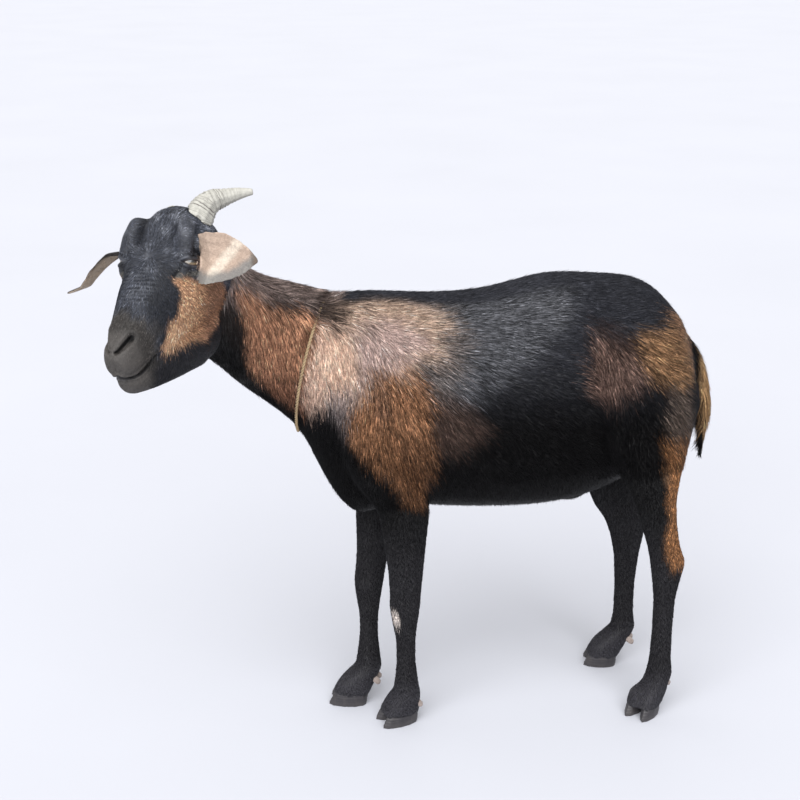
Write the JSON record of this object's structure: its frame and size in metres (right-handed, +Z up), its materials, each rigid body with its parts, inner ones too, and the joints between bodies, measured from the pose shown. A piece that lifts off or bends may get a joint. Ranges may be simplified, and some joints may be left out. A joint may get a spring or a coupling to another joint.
{
  "type": "standing goat",
  "caption": "Life-size standing short-haired goat with small swept-back horns, its head turned to one side, with a thin cord round the neck.",
  "frame": {"origin": "middle of the animal's box, on the floor under its feet", "axes": "+Z up, the goat faces -X, its left side is on -Y"},
  "size_m": [0.8794, 0.3472, 0.7958],
  "materials": {
    "body_coat": "short glossy black hair with tan patches on shoulder and haunch",
    "neck_coat": "short rust-tan hair with a grizzled black mane stripe",
    "face_coat": "very short slate-grey hair with a tan cheek",
    "ear_coat": "thin skin with fine short hair, pale inside",
    "eye": "wet amber",
    "horn": "dull ringed keratin",
    "hoof": "worn dark keratin",
    "dew_claw": "pale dull keratin",
    "cord": "twisted natural fibre"
  },
  "bodies": {
    "root": {"head": "face_coat", "neck": "neck_coat", "trunk": "body_coat", "tail": "body_coat", "foreleg_left": "body_coat", "foreleg_right": "body_coat", "hindleg_left": "body_coat", "hindleg_right": "body_coat", "ear_left": "ear_coat", "ear_right": "ear_coat", "eye_left": "eye", "eye_right": "eye", "horn_left": "horn", "horn_right": "horn", "claw_foreleg_left_left": "hoof", "claw_foreleg_left_right": "hoof", "claw_foreleg_right_left": "hoof", "claw_foreleg_right_right": "hoof", "claw_hindleg_left_left": "hoof", "claw_hindleg_left_right": "hoof", "claw_hindleg_right_left": "hoof", "claw_hindleg_right_right": "hoof", "dewclaw_foreleg_left_left": "dew_claw", "dewclaw_foreleg_left_right": "dew_claw", "dewclaw_foreleg_right_left": "dew_claw", "dewclaw_foreleg_right_right": "dew_claw", "dewclaw_hindleg_left_left": "dew_claw", "dewclaw_hindleg_left_right": "dew_claw", "dewclaw_hindleg_right_left": "dew_claw", "dewclaw_hindleg_right_right": "dew_claw", "neck_cord": "cord"}
  },
  "joints": []
}
